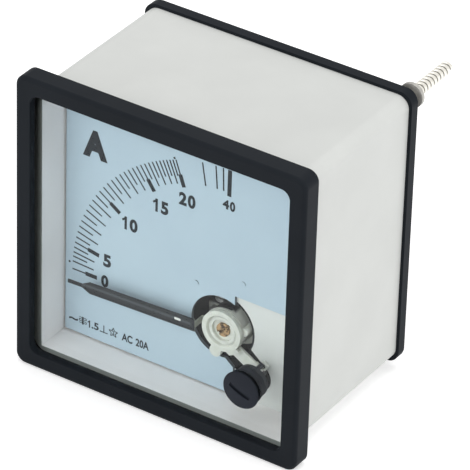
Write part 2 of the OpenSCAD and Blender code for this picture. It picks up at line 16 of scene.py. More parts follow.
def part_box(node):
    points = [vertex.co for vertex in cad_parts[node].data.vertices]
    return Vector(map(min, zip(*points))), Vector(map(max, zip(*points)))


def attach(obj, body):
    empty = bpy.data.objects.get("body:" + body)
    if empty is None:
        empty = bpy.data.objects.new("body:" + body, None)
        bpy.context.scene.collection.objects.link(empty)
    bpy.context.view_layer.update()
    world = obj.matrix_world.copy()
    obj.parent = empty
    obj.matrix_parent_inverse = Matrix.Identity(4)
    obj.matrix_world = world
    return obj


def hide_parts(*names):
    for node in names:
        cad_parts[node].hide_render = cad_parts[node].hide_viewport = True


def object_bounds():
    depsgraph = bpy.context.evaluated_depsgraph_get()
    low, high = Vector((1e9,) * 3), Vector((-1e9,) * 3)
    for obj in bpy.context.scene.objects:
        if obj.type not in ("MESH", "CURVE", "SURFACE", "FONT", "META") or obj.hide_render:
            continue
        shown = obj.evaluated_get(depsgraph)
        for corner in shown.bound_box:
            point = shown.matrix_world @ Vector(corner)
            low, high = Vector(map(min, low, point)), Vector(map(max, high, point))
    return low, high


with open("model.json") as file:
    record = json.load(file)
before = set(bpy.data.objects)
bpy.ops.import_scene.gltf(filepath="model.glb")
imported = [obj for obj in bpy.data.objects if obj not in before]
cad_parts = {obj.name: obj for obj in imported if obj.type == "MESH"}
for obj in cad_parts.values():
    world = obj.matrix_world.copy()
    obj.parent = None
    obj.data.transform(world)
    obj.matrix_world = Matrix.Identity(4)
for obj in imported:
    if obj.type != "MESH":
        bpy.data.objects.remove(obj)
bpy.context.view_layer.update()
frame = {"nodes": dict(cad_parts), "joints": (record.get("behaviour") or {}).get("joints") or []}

MM = 0.001  # Blender's unit is the metre, and a meter like this one is thought of in millimetres
nodes = frame["nodes"]
print("CAD nodes:", len(nodes))

# %% [markdown]
# ## Places read from the frame
# The pointer and the zero screw turn on hinges, so the record already holds their axes. The front
# is the side with the lowest Y. The printed scale is drawn round the pointer's axis, on the front
# face of the dial. Two more directions are worth having: along the pointer, to its tip, and along
# the lever that reaches from the pointer's axis to the zero screw.

# %% Axes and faces
hinge = {joint["name"]: Vector(joint["pos_m"]) for joint in frame["joints"]}
pivot = hinge["pointer_swing"]
screw_axis = hinge["zero_screw_turn"]


def corners(node_name):
    """The lowest and the highest corner of a node at rest."""
    return [Vector(corner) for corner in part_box(node_name)]


def direction(turn):
    """The unit vector that the X axis becomes when it is turned about Y by turn radians."""
    return Vector((math.cos(turn), 0, -math.sin(turn)))


dial_face = corners("dial_plate")[0].y
pointer_front = corners("pointer")[0].y
tip = max((v.co for v in nodes["pointer"].data.vertices), key=lambda co: (co - pivot).xz.length)
pointer_turn = math.atan2(pivot.z - tip.z, tip.x - pivot.x)
lever = screw_axis - pivot
lever_turn = math.atan2(-lever.z, lever.x)
print("pivot at", [round(v / MM, 2) for v in pivot], "mm, dial face at", round(dial_face / MM, 2))
print("pointer turned by", round(math.degrees(pointer_turn), 1), "degrees and lever by",
      round(math.degrees(lever_turn), 1))

# %% [markdown]
# ## Helpers for materials
# Colours are picked on a screen as sRGB hex values, but shaders count in linear light, so one
# function turns them. A second adds a shader node with its settings, its values and its links, so
# a material reads as a list of nodes. A third starts each material from one Principled shader,
# and the last lets a material end in another shader instead, as glass and a glowing floor need.

# %% Colours, nodes and a first shader
def linear(hex_colour):
    """sRGB hex colour as linear RGBA."""
    channels = [int(hex_colour[i:i + 2], 16) / 255 for i in (1, 3, 5)]
    return [c / 12.92 if c <= 0.04045 else ((c + 0.055) / 1.055) ** 2.4 for c in channels] + [1.0]


def add_node(tree, kind, settings=None, values=None, links=None):
    """Adds a shader node, sets its properties and inputs, and links inputs to other sockets."""
    node = tree.nodes.new(kind)
    for name, value in (settings or {}).items():
        setattr(node, name, value)
    for name, value in (values or {}).items():
        node.inputs[name].default_value = value
    for name, socket in (links or {}).items():
        tree.links.new(socket, node.inputs[name])
    return node


def new_finish(name, hex_colour, roughness, values=None):
    """A material with one Principled shader. Returns the material, its tree and the shader."""
    finish = bpy.data.materials.new(name)
    finish.use_nodes = True
    tree = finish.node_tree
    tree.nodes.clear()
    values = {"Base Color": linear(hex_colour), "Roughness": roughness, **(values or {})}
    shader = add_node(tree, "ShaderNodeBsdfPrincipled", values=values)
    add_node(tree, "ShaderNodeOutputMaterial", links={"Surface": shader.outputs["BSDF"]})
    return finish, tree, shader


def end_in(tree, output):
    """Links an output to the material's own output, in place of the first shader."""
    end = next(node for node in tree.nodes if node.type == "OUTPUT_MATERIAL")
    tree.links.new(output, end.inputs["Surface"])


print("#808080 in linear light:", round(linear("#808080")[0], 3))

# %% [markdown]
# ## Grain and drift of colour
# No real surface is one flat colour. Grain is a fine relief that breaks up highlights, and mottle
# is a slow drift between two shades. Both are noise on Object coordinates, whose unit is the
# metre, so the size of a grain or a patch is given in real units and the texture's scale is one
# over it.

# %% Grain and mottle
def add_grain(tree, shader, grain, depth, stretch=(1, 1, 1)):
    """Fine relief. grain is the width of one grain and depth its height, in metres."""
    place = add_node(tree, "ShaderNodeTexCoord")
    mapping = add_node(tree, "ShaderNodeMapping", values={"Scale": stretch},
                       links={"Vector": place.outputs["Object"]})
    noise = add_node(tree, "ShaderNodeTexNoise", values={"Scale": 1 / grain, "Detail": 2.0},
                     links={"Vector": mapping.outputs["Vector"]})
    bump = add_node(tree, "ShaderNodeBump", values={"Strength": 0.5, "Distance": depth},
                    links={"Height": noise.outputs["Fac"]})
    tree.links.new(bump.outputs["Normal"], shader.inputs["Normal"])


def add_mottle(tree, shader, hex_low, hex_high, patch, span=(0.35, 0.65)):
    """The base colour wanders between two shades. patch is the width of a patch in metres."""
    place = add_node(tree, "ShaderNodeTexCoord")
    noise = add_node(tree, "ShaderNodeTexNoise", values={"Scale": 1 / patch, "Detail": 3.0},
                     links={"Vector": place.outputs["Object"]})
    ramp = add_node(tree, "ShaderNodeValToRGB", links={"Fac": noise.outputs["Fac"]})
    for stop, position, hex_colour in zip(ramp.color_ramp.elements, span, (hex_low, hex_high)):
        stop.position = position
        stop.color = linear(hex_colour)
    tree.links.new(ramp.outputs["Color"], shader.inputs["Base Color"])


print("grains of 1 mm need a noise scale of", round(1 / MM))

# %% [markdown]
# ## Masks
# Some parts change colour where no edge of the mesh runs: paint that is worn off, or a foot that
# stands in the dark. A mask says where. One mask is a box measured from its centre, and the other
# finds the cut edges of a sheet by the direction in which they face.

# %% Masks and overpainting
BORDER = 0.06 * MM


def box_mask(tree, centre, half_size, turn=0.0, soft=BORDER):
    """1 inside a box that is turned about Y by turn radians, 0 outside, with a soft border."""
    place = add_node(tree, "ShaderNodeTexCoord")
    local = add_node(tree, "ShaderNodeMapping", {"vector_type": "TEXTURE"},
                     values={"Location": centre, "Rotation": (0, turn, 0)},
                     links={"Vector": place.outputs["Object"]})
    away = add_node(tree, "ShaderNodeVectorMath", {"operation": "ABSOLUTE"},
                    links={0: local.outputs["Vector"]})
    over = add_node(tree, "ShaderNodeVectorMath", {"operation": "SUBTRACT"},
                    values={1: half_size}, links={0: away.outputs["Vector"]})
    parts = add_node(tree, "ShaderNodeSeparateXYZ", links={"Vector": over.outputs["Vector"]})
    wide = add_node(tree, "ShaderNodeMath", {"operation": "MAXIMUM"},
                    links={0: parts.outputs["X"], 1: parts.outputs["Y"]})
    most = add_node(tree, "ShaderNodeMath", {"operation": "MAXIMUM"},
                    links={0: wide.outputs["Value"], 1: parts.outputs["Z"]})
    mask = add_node(tree, "ShaderNodeMapRange", values={"From Min": soft, "From Max": -soft},
                    links={"Value": most.outputs["Value"]})
    return mask.outputs["Result"]


def edge_mask(tree):
    """1 on the faces of a sheet or pane that don't look along Y, which are its edges."""
    facing = add_node(tree, "ShaderNodeNewGeometry")
    along = add_node(tree, "ShaderNodeSeparateXYZ", links={"Vector": facing.outputs["True Normal"]})
    flat = add_node(tree, "ShaderNodeMath", {"operation": "ABSOLUTE"},
                    links={0: along.outputs["Y"]})
    edge = add_node(tree, "ShaderNodeMath", {"operation": "LESS_THAN"}, values={1: 0.5},
                    links={0: flat.outputs["Value"]})
    return edge.outputs["Value"]


def paint_over(tree, shader, mask, hex_colour):
    """Lays a colour over a mottled base colour where the mask is 1."""
    mix = add_node(tree, "ShaderNodeMix", {"data_type": "RGBA"})
    # a Mix node has sockets for each kind of data, so the colour ones are picked by type
    under, over = (socket for socket in mix.inputs if socket.type == "RGBA")
    blended = next(socket for socket in mix.outputs if socket.type == "RGBA")
    base = shader.inputs["Base Color"]
    tree.links.new(mask, mix.inputs["Factor"])
    tree.links.new(base.links[0].from_socket, under)
    over.default_value = linear(hex_colour)
    tree.links.new(blended, base)


print("a mask fades over", round(2 * BORDER / MM, 2), "mm unless a border is given")

# %% [markdown]
# ## Moulded ABS and polycarbonate
# The front frame, the rear cover and the zero screw are moulded in black ABS, the case in white
# ABS and the frame of the movement in black polycarbonate. The mould is spark-eroded, which
# leaves a very fine grain, so the plastic reads as satin. One function makes them all, because
# they differ only in colour, roughness and how much of the light they mirror.

# %% Moulded plastics
SPARK_GRAIN = 0.12 * MM   # width of the spark-eroded grain
SPARK_DEPTH = 0.006 * MM
DRIFT = 14 * MM           # patches in which the colour hardly visibly drifts


def moulded(name, hex_low, hex_high, roughness, gloss, depth=SPARK_DEPTH):
    """Moulded plastic with a fine grain. gloss is its specular level, 0.5 for a clean surface."""
    finish, tree, shader = new_finish(name, hex_high, roughness,
                                      {"IOR": 1.52, "Specular IOR Level": gloss})
    add_grain(tree, shader, SPARK_GRAIN, depth)
    add_mottle(tree, shader, hex_low, hex_high, DRIFT)
    return finish


# spark-eroded black ABS: a bluish charcoal with a broad, weak highlight
black_frame = moulded("moulded black ABS frame", "#1c2025", "#202429", 0.5, gloss=0.06)
# the zero screw is the same ABS, a little bluer, and smoother where screwdrivers touch it
black_screw = moulded("moulded black ABS screw", "#20242c", "#252932", 0.6, gloss=0.15,
                      depth=0.5 * SPARK_DEPTH)
# white ABS: nearly neutral, satin
white_case = moulded("moulded white ABS case", "#d7d9d6", "#dbddda", 0.42, gloss=0.4)
# the walls round the dial are the same ABS in a lighter, smoother copy: painted light makes them
# brighter
painted_light_wall = moulded("white ABS walls with painted light", "#f0eceb", "#f4f0ef", 0.3, gloss=0.4,
                     depth=0.001 * MM)
# the movement's black moulding is duller than the frame, so the pit round the hub stays dark
black_moulding = moulded("moulded black polycarbonate", "#111419", "#181b20", 0.55, gloss=0.1)
for plastic in (black_frame, black_screw, white_case, painted_light_wall, black_moulding):
    print("plastic:", plastic.name)

# %% [markdown]
# ## Ivory polycarbonate
# The bridge over the pointer's hub and the ring under it are moulded in uncoloured polycarbonate.
# Light goes some way into it and comes out again, so its shaded sides glow softly. Subsurface
# scattering does that. The bridge's feet go down into the black frame, deep in the pit, and the
# hook at the end of the ring's lever lies in the zero screw's shadow, so masks paint shade on both.

# %% Bridge and ring
GLOW_DEPTH = 1.5 * MM  # how far light gets into the plastic
MOULD_GRAIN = 0.3 * MM
CLOUD = 1.5 * MM       # patches of slightly clearer and cloudier plastic


def ivory(name, hex_low, hex_high):
    """Faintly translucent moulding. Blue light gets less far in, so the glow is slightly warm."""
    finish, tree, shader = new_finish(
        name, hex_high, 0.4, {"IOR": 1.55, "Subsurface Weight": 0.5, "Subsurface Scale": GLOW_DEPTH,
                              "Subsurface Radius": (1.0, 1.0, 0.9)})
    add_grain(tree, shader, MOULD_GRAIN, 0.004 * MM)
    add_mottle(tree, shader, hex_low, hex_high, CLOUD)
    return finish, tree, shader


THROUGH = 30 * MM  # half the depth of a mask that goes all the way through along Y

ivory_bridge, tree, shader = ivory("moulded ivory polycarbonate", "#dcded2", "#e8eae0")
SHADED_FEET_MIDDLE = Vector((-5, 15.9, 6.75)) * MM  # from the pivot in X and Z, from the dial in Y
SHADED_FEET_HALF = Vector((7, 15, 6.25)) * MM
# painted shade: the feet deep in the pit are painted nearly black over the ivory
painted_feet_shade = box_mask(tree, Vector((pivot.x, dial_face, pivot.z)) + SHADED_FEET_MIDDLE, SHADED_FEET_HALF, soft=0.3 * MM)
paint_over(tree, shader, painted_feet_shade, "#16181b")

ivory_ring, tree, shader = ivory("moulded light polycarbonate", "#d2d4ca", "#dcded5")
HOOK_REACH, HOOK_SIDE = 13.3 * MM, -1.55 * MM  # from the pivot, along the lever and across it
across_lever = direction(lever_turn - math.pi / 2)
hook_middle = pivot + HOOK_REACH * direction(lever_turn) + HOOK_SIDE * across_lever
# painted shadow of the zero screw, laid over the hook of the lever
hook = box_mask(tree, hook_middle, (1.3 * MM, THROUGH, 0.95 * MM), lever_turn, soft=0.1 * MM)
paint_over(tree, shader, hook, "#2a2d30")
print("hook darkened round", [round(v / MM, 1) for v in hook_middle])

# %% [markdown]
# ## Window
# The window is a flat pane of clear polystyrene. Its anti-glare coat lets most of the view
# through unmirrored, so only part of the pane is a full glass shader and the rest only bends the
# light. Light has to reach the dial through the pane, and refracted light would make the picture
# noisy, so for shadow rays alone the pane is simply clear. The edge of the hole for the zero
# screw is painted dark, as painted shade of the screw's head.

# %% Clear pane
PANE_IOR = 1.49          # clear plastics go from 1.49 to 1.59, and the lowest mirrors least
COATED_SHARE = 0.7       # part of the pane that mirrors nothing
DRILLED_HALF = 5.2 * MM  # half the side of the box that holds the drilled hole
PANE_TINT = "#fbfdfd"

clear_pane, tree, pane = new_finish("clear polystyrene pane", PANE_TINT, 0.0,
                                    {"IOR": PANE_IOR, "Transmission Weight": 1.0})
coat = add_node(tree, "ShaderNodeBsdfRefraction",
                values={"Color": linear(PANE_TINT), "Roughness": 0.0, "IOR": PANE_IOR})
coated = add_node(tree, "ShaderNodeMixShader", values={"Fac": COATED_SHARE},
                  links={1: pane.outputs["BSDF"], 2: coat.outputs["BSDF"]})
hole = box_mask(tree, (screw_axis.x, 0, screw_axis.z), (DRILLED_HALF, THROUGH, DRILLED_HALF))
drilled = add_node(tree, "ShaderNodeMath", {"operation": "MULTIPLY"},
                   links={0: hole, 1: edge_mask(tree)})
# painted shade: the edge of the hole is a dark diffuse shader
hole_edge_shade = add_node(tree, "ShaderNodeBsdfDiffuse", values={"Color": linear("#26292d")})
body = add_node(tree, "ShaderNodeMixShader",
                links={"Fac": drilled.outputs["Value"], 1: coated.outputs["Shader"],
                       2: hole_edge_shade.outputs["BSDF"]})
clear = add_node(tree, "ShaderNodeBsdfTransparent", values={"Color": linear("#f6f9f9")})
rays = add_node(tree, "ShaderNodeLightPath")
lit = add_node(tree, "ShaderNodeMixShader",
               links={"Fac": rays.outputs["Is Shadow Ray"], 1: body.outputs["Shader"],
                      2: clear.outputs["BSDF"]})
end_in(tree, lit.outputs["Shader"])
print(clear_pane.name, "has", len(tree.nodes), "nodes")

# %% [markdown]
# ## Enamel and ink
# The dial is aluminium sheet under a pale blue stoved enamel. The enamel is matt, so that the
# scale reads without glare, and stoving leaves a slight orange peel. The edges of the sheet, the
# faces that don't look along Y, are a darker grey. The marks are screen-printed in a dense ink,
# which a finer mottle keeps from being one flat colour.

# %% Dial and ink
PEEL_GRAIN = 0.5 * MM  # ripple of a stoved enamel


def enamel(name, hex_low, hex_high, roughness, gloss=0.5):
    """Stoved enamel on sheet: even and flat, with a slight orange peel."""
    finish, tree, shader = new_finish(name, hex_high, roughness,
                                      {"IOR": 1.5, "Specular IOR Level": gloss})
    add_grain(tree, shader, PEEL_GRAIN, 0.004 * MM)
    add_mottle(tree, shader, hex_low, hex_high, 20 * MM)
    return finish, tree, shader


dial_enamel, tree, shader = enamel("pale blue stoved enamel", "#b0c3d0", "#b4c7d3", 0.55)
paint_over(tree, shader, edge_mask(tree), "#59626a")
dial_ink, tree, shader = new_finish("dark printing ink", "#161c24", 0.7,
                                    {"Specular IOR Level": 0.2})
add_mottle(tree, shader, "#131920", "#1b222b", 0.4 * MM)
print("dial:", dial_enamel.name, "and", dial_ink.name)

# %% [markdown]
# ## Painted pointer
# The pointer is thin aluminium channel, painted dark so that it reads against the pale dial.
# A lighter streak along the middle of the channel and a light step behind the blade are painted
# highlights. Both places are masks that lie along the pointer.

# %% Pointer paint
pointer_paint, tree, shader = enamel("dark grey pointer paint", "#1e2125", "#282b2f", 0.5,
                                     gloss=0.2)
SHEEN_STREAK_MIDDLE = 21 * MM  # distance of the streak's middle from the pivot
# painted highlight: a lighter streak along the middle of the pointer
painted_sheen_streak = box_mask(tree, pivot + SHEEN_STREAK_MIDDLE * direction(pointer_turn),
                (14 * MM, THROUGH, 0.3 * MM), pointer_turn, soft=0.25 * MM)
paint_over(tree, shader, painted_sheen_streak, "#4b4f54")
STEP_BACK = 2.15 * MM  # depth of the step behind the front of the pointer
# painted highlight on the step behind the blade
step = box_mask(tree, (pivot.x, pointer_front + STEP_BACK, pivot.z),
                (6.4 * MM, 2 * MM, 3 * MM), pointer_turn, soft=0.03 * MM)
paint_over(tree, shader, step, "#a4a69b")
print("pointer front at", round(pointer_front / MM, 2), "mm, its step", round(STEP_BACK / MM, 2),
      "mm behind")

# %% [markdown]
# ## Metals
# Turned, rolled and plated metals keep fine tool marks, so one function gives them a relief that
# is squeezed along the part. A few parts are different. The jewel's screw is bronze that has
# tarnished in patches. Varnish over copper wire makes it dark red and glossy. The washers are
# tumbled zinc, dull and pale, and scatter light more like a paint than like a mirror.

# %% Bare and plated metals
TOOL_MARK = 0.15 * MM  # real marks are a few hundredths apart, which is too fine to show


def bare_metal(name, hex_colour, roughness):
    """Metal with fine tool marks. A metal keeps the default IOR."""
    finish, tree, shader = new_finish(name, hex_colour, roughness, {"Metallic": 1.0})
    add_grain(tree, shader, TOOL_MARK, 0.004 * MM, stretch=(1, 3, 1))
    return finish


# turned brass: warm yellow, with highlights drawn out by the tool marks
brass_turned = bare_metal("turned brass", "#b8935a", 0.32)
# rolled strip is smoother: a redder yellow and a tighter highlight
bronze_spring = bare_metal("phosphor bronze strip", "#b98b57", 0.28)
# nickel is the brightest of the platings, a little warm
nickel_plate = bare_metal("nickel plated steel", "#d3d0c8", 0.26)
# zinc is a neutral, softer grey
zinc_screw = bare_metal("zinc plated steel", "#b4b4b2", 0.34)
# hardened and oiled steel is a dark grey with a dull shine
spring_steel = bare_metal("blackened spring steel", "#7c7c7e", 0.4)
# annealing leaves iron matt
soft_iron = bare_metal("annealed iron sheet", "#8d8d8c", 0.5)
# the vane's sheet is as bright as it left the rolls
vane_sheet = bare_metal("bright aluminium sheet", "#cfd0d2", 0.35)
# copper strip: orange pink and clean
copper_bar = bare_metal("bare copper strip", "#c98763", 0.3)

bronze_jewel, tree, shader = new_finish("tarnished bronze", "#9a774c", 0.45, {"Metallic": 0.5})
add_grain(tree, shader, 0.35 * MM, 0.05 * MM)
add_mottle(tree, shader, "#4a3726", "#b8966c", 0.9 * MM, span=(0.42, 0.58))

WIRE = 0.6 * MM  # about the width of one turn of the winding
copper_wire, tree, shader = new_finish("enamelled copper wire", "#9c4a2c", 0.25, {"Metallic": 0.85})
add_grain(tree, shader, WIRE, 0.03 * MM, stretch=(1, 4, 1))

washer_zinc, tree, shader = new_finish("tumbled zinc", "#b9b7b1", 0.55, {"Metallic": 0.25})
add_grain(tree, shader, 0.3 * MM, 0.01 * MM)
add_mottle(tree, shader, "#aeaca7", "#c6c4be", 1.2 * MM)
print("materials so far:", len(bpy.data.materials))

# %% [markdown]
# ## Finishes on the CAD nodes
# Most nodes keep their CAD shape and only get their finish. Their meshes stay as they are.

# %% Assign the finishes
nodes_with = {
    clear_pane: ("window",),
    dial_enamel: ("dial_plate", "dial_rivets"),
    black_frame: ("bezel", "rear_cover"),
    white_case: ("housing",),
    black_screw: ("zero_screw",),
    black_moulding: ("movement_frame", "bobbin", "damping_chamber"),
    ivory_bridge: ("front_bridge",),
    ivory_ring: ("zero_arm",),
    bronze_jewel: ("front_jewel_screw",),
    pointer_paint: ("pointer",),
    brass_turned: ("pointer_collet", "rear_jewel_screw", "terminal_studs", "terminal_nuts"),
    zinc_screw: ("frame_screws", "bridge_screws", "spindle", "chamber_screws", "cover_screws"),
    bronze_spring: ("hairspring",),
    soft_iron: ("moving_iron", "fixed_iron"),
    vane_sheet: ("damping_vane",),
    copper_wire: ("coil_winding",),
    copper_bar: ("bus_straps",),
    nickel_plate: ("terminal_washers", "mounting_studs"),
    spring_steel: ("terminal_spring_washers",),
    washer_zinc: ("mounting_washers",),
}
finished = 0
for finish, node_names in nodes_with.items():
    for node_name in node_names:
        nodes[node_name].data.materials.clear()
        nodes[node_name].data.materials.append(finish)
        finished += 1
print("finished nodes:", finished, "of", len(nodes))

# %% [markdown]
# ## Softened shells
# A moulded edge is never sharp: a radius of a tenth or two of a millimetre catches a thin line of
# light. The frame, the case, the cover and the zero screw are copied from their nodes. The
# copies' loose triangles are merged and dissolved into whole faces, and a Bevel modifier rounds
# every edge that is still sharp. A Weighted Normal modifier then lets the large faces lead the
# shading, so that flats stay flat beside their rounded edges. Each copy stands for its node,
# which stays as it was.

# %% Copies with softened edges
WELD = 0.0005 * MM               # corners closer than this are one corner
FLAT_ANGLE = math.radians(0.4)   # triangles that turn by less are one flat face
SHARP_ANGLE = math.radians(35)   # edges that turn by more are rounded
SMOOTH_ANGLE = math.radians(30)  # edges that turn by less are shaded smooth


def select_only(obj):
    """Makes obj the one selected and active object."""
    bpy.ops.object.select_all(action="DESELECT")
    obj.select_set(True)
    bpy.context.view_layer.objects.active = obj


def softened_copy(node_name, radius, body):
    """A copy of a CAD node with whole faces and rounded edges, which stands for the node."""
    obj = bpy.data.objects.new(node_name + "_soft", nodes[node_name].data.copy())
    bpy.context.scene.collection.objects.link(obj)
    select_only(obj)
    bpy.ops.object.mode_set(mode="EDIT")
    bpy.ops.mesh.select_all(action="SELECT")
    bpy.ops.mesh.remove_doubles(threshold=WELD)
    bpy.ops.mesh.customdata_custom_splitnormals_clear()
    bpy.ops.mesh.dissolve_limited(angle_limit=FLAT_ANGLE)
    bpy.ops.object.mode_set(mode="OBJECT")
    bevel = obj.modifiers.new("soft edges", "BEVEL")
    bevel.width = radius
    bevel.segments = 3
    bevel.limit_method = "ANGLE"
    bevel.angle_limit = SHARP_ANGLE
    bpy.ops.object.modifier_apply(modifier=bevel.name)
    bpy.ops.object.shade_smooth_by_angle(angle=SMOOTH_ANGLE)
    even = obj.modifiers.new("flat faces", "WEIGHTED_NORMAL")
    even.keep_sharp = True
    bpy.ops.object.modifier_apply(modifier=even.name)
    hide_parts(node_name)
    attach(obj, body)
    print(obj.name, len(obj.data.polygons), "faces")
    return obj


softened_copy("bezel", 0.25 * MM, "case")
housing_soft = softened_copy("housing", 0.15 * MM, "case")
softened_copy("rear_cover", 0.15 * MM, "case")
softened_copy("zero_screw", 0.3 * MM, "zero_screw_body")

# %% [markdown]
# ## Walls round the dial
# The case shows its inner walls round the dial. They throw light at each other, and a lighter,
# smoother copy of the white ABS paints more light on them, so they look brighter than the outside.
# A mesh can hold several materials, and each face has the number of its own. The walls are the
# faces near the dial that look inwards.

# %% Finish the inner walls
WELL_HALF = 34.5 * MM    # the walls lie within this distance of the middle
WELL_BEHIND = 1 * MM     # and reach this far behind the face of the dial

# painted light: the inward faces near the dial get the lighter copy of the white ABS
housing_soft.data.materials.append(painted_light_wall)
walls = 0
for face in housing_soft.data.polygons:
    middle, normal = face.center, face.normal
    inwards = normal.x * middle.x + normal.z * middle.z < 0 and abs(normal.y) < 0.5
    in_well = max(abs(middle.x), abs(middle.z)) < WELL_HALF and middle.y < dial_face + WELL_BEHIND
    if inwards and in_well:
        face.material_index = 1
        walls += 1
print("inner wall faces:", walls)

# %% [markdown]
# ## Finish of a thread
# The root of a thread gets little light, and its shade is painted in: the finish reads how far
# a point is from the axis of its stud and darkens towards the root. The studs stand as mirror
# images of each other, and the absolute value of a place folds them onto one.

# %% Metal that darkens towards the root
def thread_finish(name, crest_hex, root_shade_hex, roughness, axis_x, axis_z, root_radius, crest_radius):
    """Metal round axes at plus or minus axis_x and axis_z, darkest at the root radius."""
    finish, tree, shader = new_finish(name, crest_hex, roughness, {"Metallic": 1.0})
    add_grain(tree, shader, 0.2 * MM, 0.004 * MM)
    place = add_node(tree, "ShaderNodeTexCoord")
    folded = add_node(tree, "ShaderNodeVectorMath", {"operation": "ABSOLUTE"},
                      links={0: place.outputs["Object"]})
    centred = add_node(tree, "ShaderNodeVectorMath", {"operation": "SUBTRACT"},
                       values={1: (axis_x, 0, axis_z)}, links={0: folded.outputs["Vector"]})
    across = add_node(tree, "ShaderNodeVectorMath", {"operation": "MULTIPLY"},
                      values={1: (1, 0, 1)}, links={0: centred.outputs["Vector"]})
    radius = add_node(tree, "ShaderNodeVectorMath", {"operation": "LENGTH"},
                      links={0: across.outputs["Vector"]})
    height = add_node(tree, "ShaderNodeMapRange",
                      values={"From Min": 0.0, "From Max": crest_radius},
                      links={"Value": radius.outputs["Value"]})
    ramp = add_node(tree, "ShaderNodeValToRGB", links={"Fac": height.outputs["Result"]})
    # what lies well inside the root's radius, as the end of a rod does, is as bright as the crest
    stops = ramp.color_ramp.elements
    stops[0].color = stops[1].color = linear(crest_hex)
    # painted shade: the ramp goes dark towards the root of the thread
    for at, hex_colour in ((0.94, crest_hex), (0.97, root_shade_hex), (1.0, root_shade_hex)):
        stops.new(at * root_radius / crest_radius).color = linear(hex_colour)
    tree.links.new(ramp.outputs["Color"], shader.inputs["Base Color"])
    print(name, "is darkest", round(root_radius / MM, 2), "mm from the axis")
    return finish


# %% [markdown]
# ## Ridge of a thread
# A thread is a ridge that climbs round a core. The section of the ridge starts as a circle with
# four corners, which are moved to a flat crest and a wider foot that is sunk into the core. The
# Screw modifier carries the section round the axis and along it. One turn takes 28 steps, which
# is round enough for a stud of this size.

# %% Cut a thread
FOOT_DEPTH = 0.04 * MM   # how far the ridge is sunk into its core
CREST_HALF, FOOT_HALF = 0.17, 0.46  # half widths of the ridge, as parts of its pitch
TURN_STEPS = 28


def thread_ridge(x, z, low, high, root_radius, crest_radius, pitch):
    """A ridge that climbs round an axis along Y, from low to high. Sizes in metres."""
    bpy.ops.object.select_all(action="DESELECT")
    bpy.ops.mesh.primitive_circle_add(vertices=4, radius=1, fill_type="NGON", location=(0, 0, 0))
    ridge = bpy.context.object
    foot_radius = root_radius - FOOT_DEPTH
    section = ((crest_radius, CREST_HALF), (crest_radius, -CREST_HALF),
               (foot_radius, -FOOT_HALF), (foot_radius, FOOT_HALF))
    for vertex, (out, along) in zip(ridge.data.vertices, section):
        vertex.co = (out, along * pitch, 0)
    turns = (high - low) / pitch - 2 * FOOT_HALF
    climb = ridge.modifiers.new("climb", "SCREW")
    climb.axis = "Y"
    climb.screw_offset = turns * pitch
    climb.angle = turns * 2 * math.pi
    climb.steps = climb.render_steps = int(turns * TURN_STEPS)
    bpy.ops.object.modifier_apply(modifier=climb.name)
    ridge.location = (x, low + FOOT_HALF * pitch, z)
    bpy.ops.object.transform_apply(location=True, rotation=True, scale=True)
    bpy.ops.object.mode_set(mode="EDIT")
    bpy.ops.mesh.select_all(action="SELECT")
    bpy.ops.mesh.remove_doubles(threshold=0.001 * MM)
    bpy.ops.mesh.normals_make_consistent(inside=False)
    bpy.ops.object.mode_set(mode="OBJECT")
    bpy.ops.object.shade_smooth_by_angle(angle=SMOOTH_ANGLE)
    print("ridge of", round(turns, 1), "turns")
    return ridge


# %% [markdown]
# ## Core of a stud
# The core is a turned rod: a cylinder whose far end gets a chamfer, so that a nut finds its way
# onto it. In edit mode the bevel works on the selected edges, and those are found by their place.
# The cores and ridges of both studs are joined into one piece, as the CAD node has both in one.

# %% Turn a rod and join the parts
THREAD_END = 0.1 * MM  # a thread stops this far from the end of its stud
NEAR = 0.01 * MM       # an edge this close to the end of a rod belongs to its rim


def turned_rod(x, z, low, high, radius, chamfer):
    """A rod along Y with a chamfer at its far end."""
    bpy.ops.object.select_all(action="DESELECT")
    bpy.ops.mesh.primitive_cylinder_add(
        vertices=48, radius=radius, depth=high - low,
        location=(x, (low + high) / 2, z), rotation=(math.radians(90), 0, 0))
    rod = bpy.context.object
    bpy.ops.object.transform_apply(location=True, rotation=True, scale=True)
    bpy.ops.object.mode_set(mode="EDIT")
    bpy.ops.mesh.select_all(action="DESELECT")
    bpy.ops.object.mode_set(mode="OBJECT")
    for edge in rod.data.edges:
        edge.select = all(rod.data.vertices[v].co.y > high - NEAR for v in edge.vertices)
    bpy.ops.object.mode_set(mode="EDIT")
    bpy.ops.mesh.bevel(offset=chamfer, segments=1)
    bpy.ops.object.mode_set(mode="OBJECT")
    bpy.ops.object.shade_smooth_by_angle(angle=SMOOTH_ANGLE)
    return rod


def joined(parts, name, finish, node_name):
    """Parts joined into one piece of the case, which stands for a CAD node."""
    select_only(parts[0])
    for part in parts[1:]:
        part.select_set(True)
    bpy.ops.object.join()
    piece = bpy.context.object
    piece.name = name
    piece.data.materials.clear()
    piece.data.materials.append(finish)
    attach(piece, "case")
    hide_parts(node_name)
    print(piece.name, len(piece.data.polygons), "faces")


# %% [markdown]
# ## Mounting studs
# Two nickel plated studs clamp the meter to its panel. A real thread of this size climbs 0.5 mm a
# turn. It is drawn coarser and deeper here, so that its turns show in a picture.

# %% Make the mounting studs
stud_low, stud_high = corners("mounting_studs")
STUD_RADIUS = 1.5 * MM
STUD_CREST = 1.44 * MM  # the rolled crest stays just inside the nominal radius
STUD_ROOT = 1.02 * MM
STUD_PITCH = 1.3 * MM
STUD_CHAMFER = 0.3 * MM
stud_axis = stud_high.x - STUD_RADIUS
washer_top = corners("mounting_washers")[1].y
